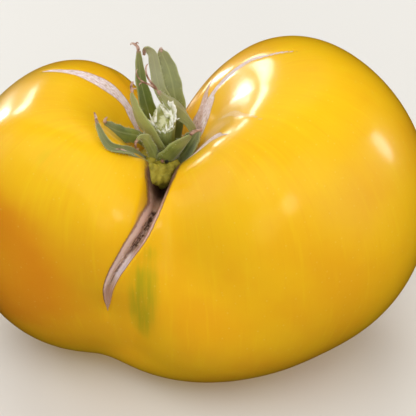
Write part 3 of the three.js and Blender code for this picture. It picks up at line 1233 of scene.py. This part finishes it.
# Torn white shards on the rim: (line, half thicknesses in millimetres, flatness)
shards = [
    (
        [(-6.1, -7.3, 68.3), (-5.2, -5.6, 69.4), (-5.3, -3.6, 71.2), (-6.3, -2.4, 73), (-8, -2.2, 74.6)],
        (0.5, 0.75, 0.7, 0.55, 0.1),
        0.5,
    ),
    ([(-6, -3.6, 70.4), (-7, -3.2, 72), (-8.5, -3.2, 74.1)], (0.75, 0.55, 0.08), 0.45),
    ([(-9.6, -5.6, 70.1), (-9.4, -5, 71.7), (-9.1, -4.4, 73.4)], (0.5, 0.36, 0.08), 0.5),
    ([(-10, -6, 70), (-10.6, -5.6, 71.6), (-11, -5.1, 72.8)], (0.4, 0.26, 0.08), 0.6),
    ([(-9.6, -6.4, 69.6), (-10.7, -6.2, 70.8), (-11.8, -5.8, 71.8)], (0.4, 0.24, 0.08), 0.6),
    ([(-6.4, -7.4, 68.2), (-6.7, -6.8, 69.4), (-6.7, -6.3, 70.4)], (0.4, 0.3, 0.08), 0.5),
    ([(-5.6, -7, 68.4), (-5.6, -6.2, 69.8), (-5.9, -5.5, 71)], (0.42, 0.3, 0.08), 0.5),
    ([(-6, -2, 70.6), (-6.5, -1.6, 72.4), (-7.5, -1.4, 73.9)], (0.7, 0.5, 0.1), 0.45),
    ([(-4.2, -4.6, 70.4), (-3.7, -4.7, 70.8), (-3.2, -4.8, 70.9)], (0.24, 0.16, 0.06), 0.7),
]


def stubAxes():
    foot = np.array(stub["foot"], dtype=float)
    head = np.array(stub["head"], dtype=float)
    axis = unit(head - foot)
    across = unit(np.cross(axis, (0, 1, 0)))
    return foot, head, axis, across, np.cross(across, axis)


# Share 0 of the rim's heights is the left side, and it goes round by the back
def rimHeight(angle):
    return along(stub["rimHeights"], (angle / (2 * np.pi)) % 1)


def makeStub():
    deselectAll()
    bpy.ops.mesh.primitive_cylinder_add(
        vertices=stub["segments"], radius=1, depth=1, end_fill_type="TRIFAN"
    )
    piece = newest("stalkEnd")
    bpy.ops.object.mode_set(mode="EDIT")
    bpy.ops.mesh.select_all(action="SELECT")
    bpy.ops.mesh.subdivide(number_cuts=stub["cuts"])
    bpy.ops.object.mode_set(mode="OBJECT")
    rough = readPoints(piece)
    foot, head, axis, across, outward = stubAxes()
    tear = unit(stub["tearNormal"])
    share = rough[:, 2] + 0.5
    inward = np.hypot(rough[:, 0], rough[:, 1])
    angle = np.arctan2(rough[:, 1], rough[:, 0])
    straight = stub["footRadius"] + (stub["headRadius"] - stub["footRadius"]) * share
    reach = straight - (straight - stub["neckRadius"]) * np.sin(np.pi * share)
    reach = reach + stub["ribDepth"] * np.cos(stub["ribs"] * angle) * inward
    radial = across * np.cos(angle)[:, None] + outward * np.sin(angle)[:, None]
    offset = radial * (inward * reach)[:, None]
    tilt = -(offset @ tear) / (axis @ tear)
    rim = np.clip((inward - stub["rimStart"]) / stub["rimWidth"], 0, 1) ** 2
    waves = [height * np.sin(angle * count + turn) for height, count, turn in stub["raggedWaves"]]
    ragged = sum(waves) * rim
    pith = stub["pithHeight"] * np.sin(rough[:, 0] * 11) * np.sin(rough[:, 1] * 9 + 1) * (1 - rim)
    hollow = rimHeight(angle) * rim - stub["hollowDepth"] * (1 - rim)
    length = np.linalg.norm(head - foot) + tilt + ragged + pith + hollow
    points = foot + offset + axis * (length * share)[:, None]
    writePoints(piece, points * mm)
    writeAttribute(piece, "tearPlace", np.stack([rim, share, angle], -1))
    recalculate(piece)
    bpy.ops.object.shade_smooth_by_angle(angle=math.radians(stub["smoothAngle"]))
    return piece


def makeFibres():
    draw = random.Random(fibres["seed"])
    foot, head, axis, across, outward = stubAxes()
    tear = unit(stub["tearNormal"])
    pieces = [makeThread("shard", line, radii, 16, 8, flat) for line, radii, flat in shards]
    for number in range(fibres["count"]):
        angle = draw.uniform(0, 2 * math.pi)
        reach = stub["headRadius"] * draw.uniform(*fibres["ring"])
        offset = (across * math.cos(angle) + outward * math.sin(angle)) * reach
        tilt = -(offset @ tear) / (axis @ tear)
        level = np.linalg.norm(head - foot) + tilt - fibres["rootDepth"]
        level = level + rimHeight(np.array([angle]))[0] * fibres["rimShare"]
        start = foot + offset + axis * level
        lean = np.array([draw.uniform(*span) for span in fibres["leans"]])
        way = unit(axis + unit(offset) * fibres["spread"] + lean * fibres["leanShare"])
        bend = np.array([draw.uniform(*span) for span in fibres["bends"]])
        length = draw.uniform(*fibres["length"])
        line = [start, start + way * length * 0.5, start + (way + bend) * length]
        radius = draw.uniform(*fibres["radius"])
        pieces.append(makeThread("fibre", line, (radius, radius * 0.8, fibres["tipRadius"]), 6, 4))
    piece = joinPieces(pieces, "stalkFibres")
    recalculate(piece)
    return piece


stalk = {
    "side": srgb(122, 130, 40),
    "sideLight": srgb(172, 176, 110),
    "pith": srgb(216, 214, 172),
    "pithDark": srgb(158, 158, 90),
    "fibre": srgb(238, 236, 222),
    "fibreDull": srgb(204, 204, 160),
    "streakScale": 2400,
    "patchScale": 600,
    "fibrePatchScale": 900,
    "bumpDepth": 0.0004,
}


def stalkMaterial():
    shader = Shader("stalkEnd")
    place = shader.place()
    rim, share, angle = shader.attribute("tearPlace").parts()
    streaks = shader.noise(shader.stretch(place, (1, 1, 0.12)), stalk["streakScale"], 3)
    patches = shader.noise(place, stalk["patchScale"], 3)
    colour = shader.mix(share.rise(0.3, 0.95) * (0.4 + streaks), stalk["side"], stalk["sideLight"])
    pith = shader.mix(patches.rise(0.4, 0.6), stalk["pithDark"], stalk["pith"])
    colour = shader.mix(rim.rise(0.8, 0.4), colour, pith)
    torn = rim.rise(0.5, 0.9) * share.rise(0.97, 0.995)
    rightSide = abs(angle).rise(0.9, 1.8)
    colour = shader.mix(torn * (0.3 + rightSide * 0.7), colour, stalk["fibre"])
    return shader.finish(
        {
            "Base Color": colour,
            "Roughness": 0.6 + patches * 0.15,
            "Normal": shader.bump(streaks, 0.7, stalk["bumpDepth"]),
            "Subsurface Weight": 0.1,
            "Subsurface Radius": (0.001, 0.001, 0.0005),
            "Subsurface Scale": 1.0,
        }
    )


def fibreMaterial():
    shader = Shader("stalkFibres")
    patches = shader.noise(shader.place(), stalk["fibrePatchScale"], 3)
    colour = shader.mix(patches.rise(0.45, 0.65), stalk["fibre"], stalk["fibreDull"])
    return shader.finish({"Base Color": colour, "Roughness": 0.5 + patches * 0.2})


dress(makeStub(), stalkMaterial(), "stem_stub")
dress(makeFibres(), fibreMaterial(), "stem_stub")
print("stalk end made")


# Fine pale hairs near the edges of the sepals, in millimetres
hairs = {
    "perSepal": 110,
    "seed": 11,
    "length": (0.4, 1.1),
    "radius": 0.03,
    "sharesAlong": (0.12, 0.94),
    "sharesAcross": (0.55, 1),
    "edgeInset": 0.97,
    "faceLift": 0.15,
    "outOfFace": 0.7,
    "unruliness": 0.5,
    "colour": srgb(206, 208, 168),
    "pale": srgb(236, 236, 214),
    "tintScale": 600,
}


# One thin cone, copied to each place and turned there
def makeHairs():
    deselectAll()
    bpy.ops.mesh.primitive_cone_add(vertices=3, radius1=1, radius2=0, depth=1)
    piece = newest("calyxHairs")
    cone = readPoints(piece)
    faces = [tuple(face.vertices) for face in piece.data.polygons]
    draw = random.Random(hairs["seed"])
    points = []
    for sepal in sepals.values():
        for number in range(hairs["perSepal"]):
            share = np.array([draw.uniform(*hairs["sharesAlong"])])
            across = draw.choice((-1, 1)) * draw.uniform(*hairs["sharesAcross"]) ** 0.5
            middle, side, normal, halfWidth = [value[0] for value in sepalFrame(sepal, share)]
            face = draw.choice((-1, 1))
            lift = sepal["cup"] * halfWidth * across**2 + face * hairs["faceLift"]
            start = middle + side * across * halfWidth * hairs["edgeInset"] + normal * lift
            lean = np.array([draw.uniform(-1, 1) for axis in range(3)]) * hairs["unruliness"]
            way = unit(side * across + normal * face * hairs["outOfFace"] + lean)
            beside = unit(np.cross(way, (0.3, 0.5, 0.8)))
            size = hairs["radius"]
            length = draw.uniform(*hairs["length"])
            spread = beside * cone[:, :1] * size + np.cross(way, beside) * cone[:, 1:2] * size
            points.append(start + spread + way * (cone[:, 2:] + 0.5) * length)
    count = len(cone)
    allFaces = [tuple(c + n * count for c in face) for n in range(len(points)) for face in faces]
    mesh = bpy.data.meshes.new("calyxHairs")
    mesh.from_pydata((np.concatenate(points) * mm).tolist(), [], allFaces)
    piece.data = mesh
    recalculate(piece)
    return piece


def hairMaterial():
    shader = Shader("calyxHairs")
    tint = shader.noise(shader.place(), hairs["tintScale"], 2)
    colour = shader.mix(tint, hairs["colour"], hairs["pale"])
    return shader.finish({"Base Color": colour, "Roughness": 0.5 + tint * 0.1})


dress(makeHairs(), hairMaterial(), "calyx")
print("hairs made")


# Floor, light and camera
studio = {
    "floorSize": 3.0,
    "floorColour": srgb(216, 213, 206),
    "floorPale": srgb(222, 219, 213),
    "floorPatchScale": 6,
    "floorRoughness": 0.85,
    "world": (0.92, 0.95, 1.0),
    "worldStrength": 0.42,
    "target": (3.95 * mm, 0.25 * mm, 39 * mm),
    "elevation": 36,
    "distance": 0.466,
    "lens": 100,
    "sensor": 24,
    "nearClip": 0.01,
}

# Soft lamps: azimuth and elevation in degrees, distance, width, height in metres, watts,
# colour, and whether dull and glossy surfaces show them
lamps = {
    "window": (123.5, 7, 1.0, 0.17, 0.22, 1.4, (1.0, 0.98, 0.96), True, True),
    "windowLeft": (115, 21, 1.0, 0.24, 0.12, 0.82, (1.0, 0.98, 0.96), True, True),
    "overhead": (-120, 60, 1.0, 0.9, 0.9, 4.8, (1.0, 0.99, 0.97), True, False),
    "sheen": (178, 30, 1.4, 0.9, 0.9, 0.8, (1.0, 0.99, 0.97), False, True),
    "sheenWide": (178, 28, 1.4, 1.6, 1.6, 1.2, (1.0, 0.99, 0.97), False, True),
    "sheenWidest": (178, 26, 1.4, 2.4, 2.4, 1.2, (1.0, 0.99, 0.97), False, True),
    "front": (-95, 18, 1.2, 0.8, 0.8, 3.6, (1.0, 0.99, 0.97), True, False),
    "fill": (-15, 10, 1.3, 1.0, 1.0, 3.8, (1.0, 0.99, 0.97), True, False),
    "back": (95, 45, 1.2, 1.0, 1.0, 6.2, (1.0, 0.99, 0.97), True, False),
    "rightSide": (14, 16, 1.0, 0.14, 0.34, 0.8, (0.96, 0.98, 1.0), True, True),
    "spark": (-61, 32, 1.0, 0.36, 0.36, 0.5, (1.0, 0.98, 0.96), False, True),
    "sky": (-40, 48, 1.4, 1.1, 1.1, 3, (0.98, 0.99, 1.0), True, False),
}


def makeFloor():
    deselectAll()
    bpy.ops.mesh.primitive_plane_add(size=studio["floorSize"], location=(0, 0, 0))
    floor = newest("studioFloor")
    shader = Shader("studioFloor")
    patches = shader.noise(shader.place(), studio["floorPatchScale"], 3)
    colour = shader.mix(patches, studio["floorColour"], studio["floorPale"])
    values = {"Base Color": colour, "Roughness": studio["floorRoughness"]}
    floor.data.materials.append(shader.finish(values))
    floor.visible_diffuse = False
    floor.visible_glossy = False


def pointAt(thing, place, target):
    thing.location = place
    thing.rotation_euler = (Vector(target) - Vector(place)).to_track_quat("-Z", "Y").to_euler()


def makeLamp(name, azimuth, elevation, distance, width, height, watts, colour, onDull, inGloss):
    way = direction(np.radians(90 - elevation), np.radians(azimuth))
    data = bpy.data.lights.new(name, "AREA")
    data.shape = "ELLIPSE"
    data.size = width
    data.size_y = height
    data.energy = watts
    data.color = colour
    lamp = bpy.data.objects.new(name, data)
    lamp.visible_diffuse = onDull
    lamp.visible_glossy = inGloss
    bpy.context.scene.collection.objects.link(lamp)
    target = np.array(studio["target"])
    pointAt(lamp, tuple(target + way * distance), tuple(target))


def makeWorld():
    world = bpy.data.worlds.new("studioSky")
    bpy.context.scene.world = world
    world.use_nodes = True
    background = world.node_tree.nodes["Background"]
    background.inputs["Color"].default_value = (*studio["world"], 1)
    background.inputs["Strength"].default_value = studio["worldStrength"]
    world.cycles_visibility.glossy = False
    bpy.context.scene.view_settings.view_transform = "Standard"


def makeCamera():
    data = bpy.data.cameras.new("photoCamera")
    data.lens = studio["lens"]
    data.sensor_width = studio["sensor"]
    data.clip_start = studio["nearClip"]
    camera = bpy.data.objects.new("photoCamera", data)
    bpy.context.scene.collection.objects.link(camera)
    tilt = math.radians(studio["elevation"])
    target = Vector(studio["target"])
    place = target + Vector((0, -math.cos(tilt), math.sin(tilt))) * studio["distance"]
    pointAt(camera, place, target)
    bpy.context.scene.camera = camera


makeFloor()
for name, values in lamps.items():
    makeLamp(name, *values)
makeWorld()
makeCamera()
print("studio made")
